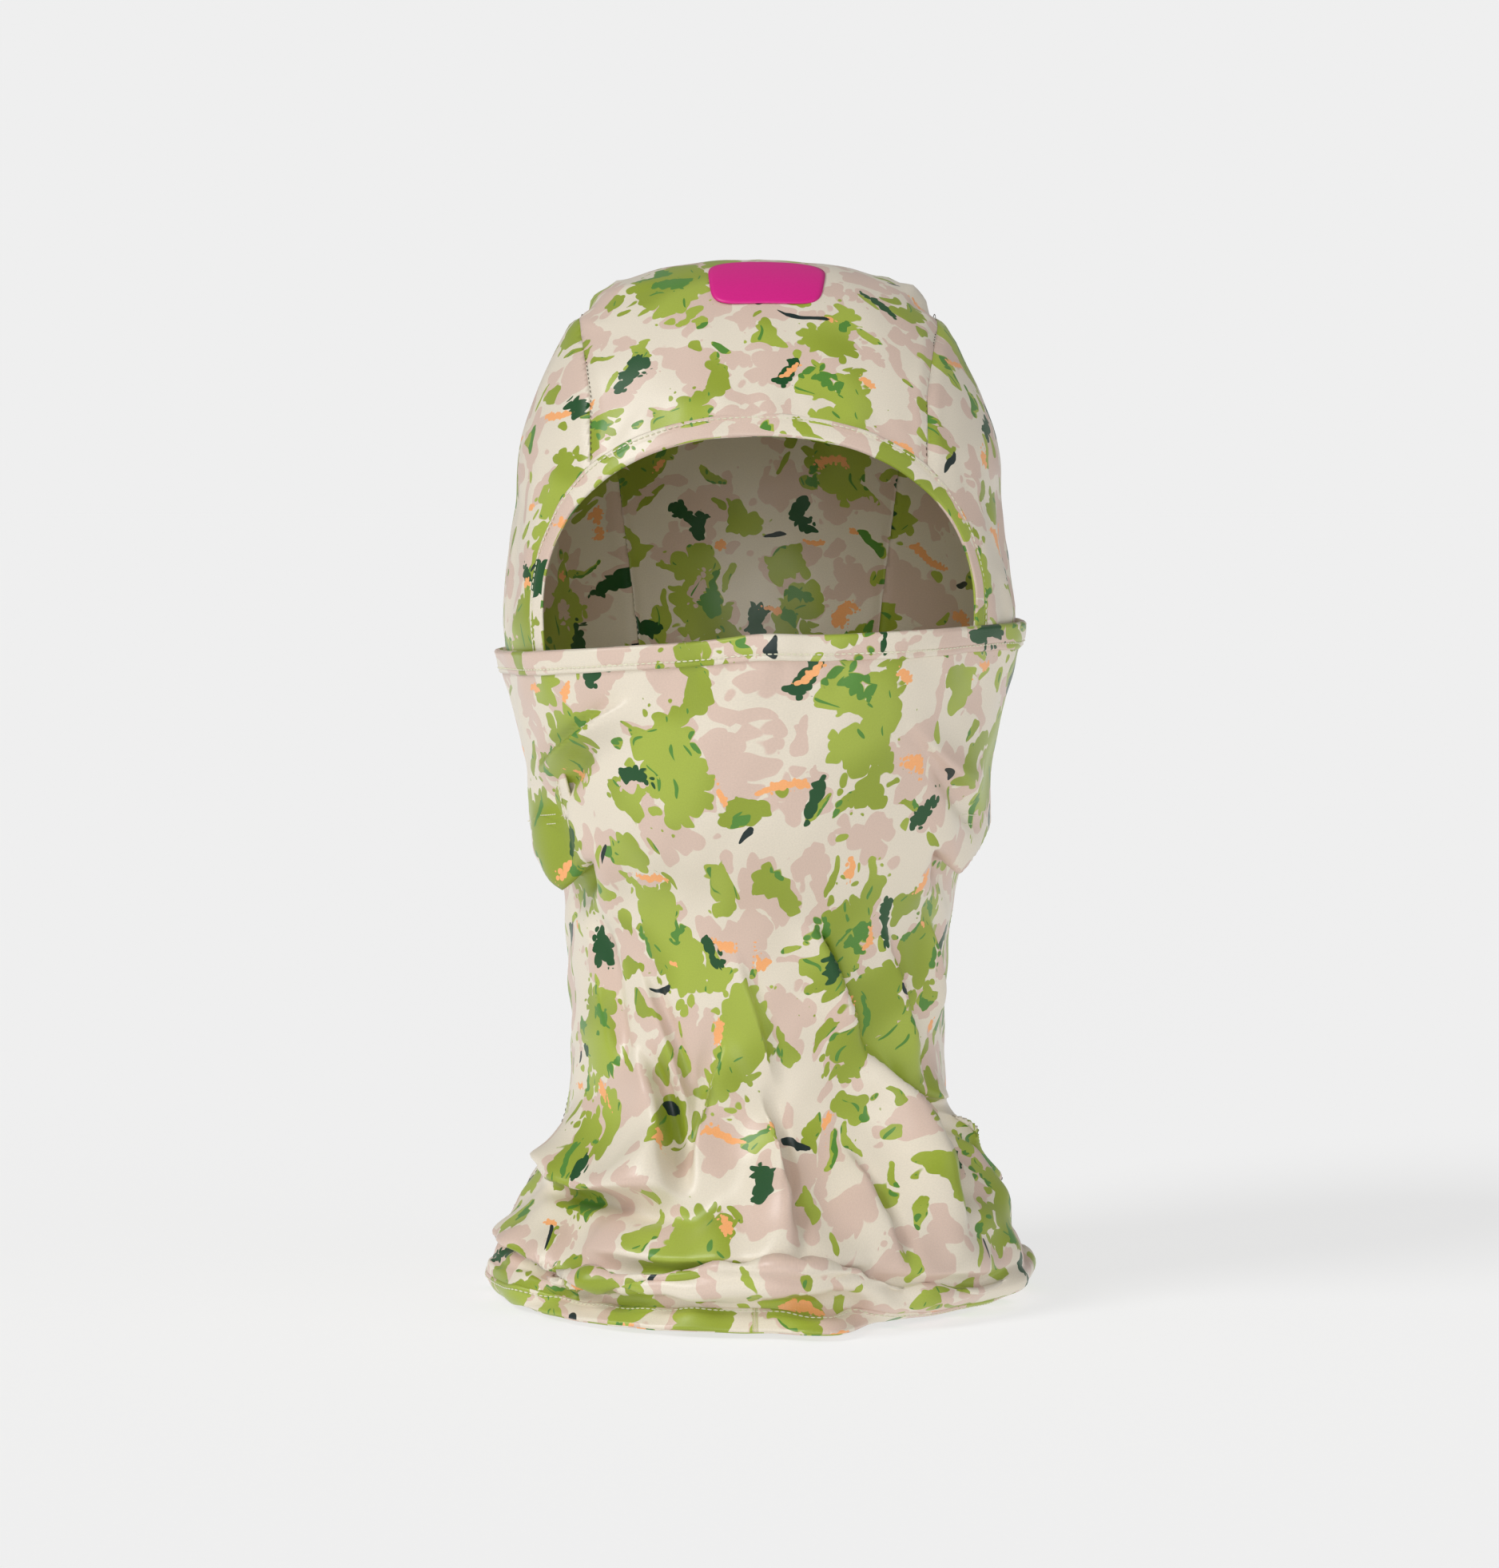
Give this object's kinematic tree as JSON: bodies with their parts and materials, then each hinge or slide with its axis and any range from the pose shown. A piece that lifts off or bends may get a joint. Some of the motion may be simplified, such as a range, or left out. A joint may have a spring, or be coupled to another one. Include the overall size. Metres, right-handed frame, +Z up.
{
  "type": "balaclava",
  "caption": "Thin jersey balaclava with a wide face opening, a mask over nose and chin that pulls down, and a long neck tube gathered into a crumpled base.",
  "frame": {"origin": "on the table, under the middle of the object", "axes": "+Z up, from the neck's hem to the crown; the face looks along -Y; +X is on the viewer's right when looking at the face"},
  "size_m": [0.2, 0.2097, 0.388],
  "materials": {
    "printed_jersey": "cream jersey with a soft satin sheen, printed with dusty pink, lime green, forest green, orange and near-black blotches",
    "seam_thread": "thread and needle holes of the joining seams, slightly darker than the cloth",
    "topstitch_thread": "pale polyester thread with a slight gloss",
    "transfer_print": "magenta heat-transfer film, smoother than the jersey"
  },
  "bodies": {
    "hood_and_neck": {"crown_panel": "printed_jersey", "left_side_panel": "printed_jersey", "right_side_panel": "printed_jersey", "face_opening_hem": "printed_jersey", "face_hem_stitching": "topstitch_thread", "crown_transfer_print": "transfer_print", "crown_seam_left": "seam_thread", "crown_seam_right": "seam_thread", "neck_front_panel": "printed_jersey", "neck_back_panel": "printed_jersey", "neck_side_seam_left": "seam_thread", "neck_side_seam_right": "seam_thread", "nape_seam": "seam_thread", "bottom_hem": "printed_jersey", "bottom_hem_stitching": "topstitch_thread"},
    "mask": {"mask_panel": "printed_jersey", "mask_top_hem": "printed_jersey", "mask_hem_stitching": "topstitch_thread", "mask_side_hem_left": "printed_jersey", "mask_side_hem_right": "printed_jersey", "hinge_tack_left": "topstitch_thread", "hinge_tack_right": "topstitch_thread"}
  },
  "joints": [
    {"name": "mask_pull_down", "type": "slide", "parent": "hood_and_neck", "child": "mask", "axis": [0, 0, -1], "range_m": [0, 0.06]}
  ]
}
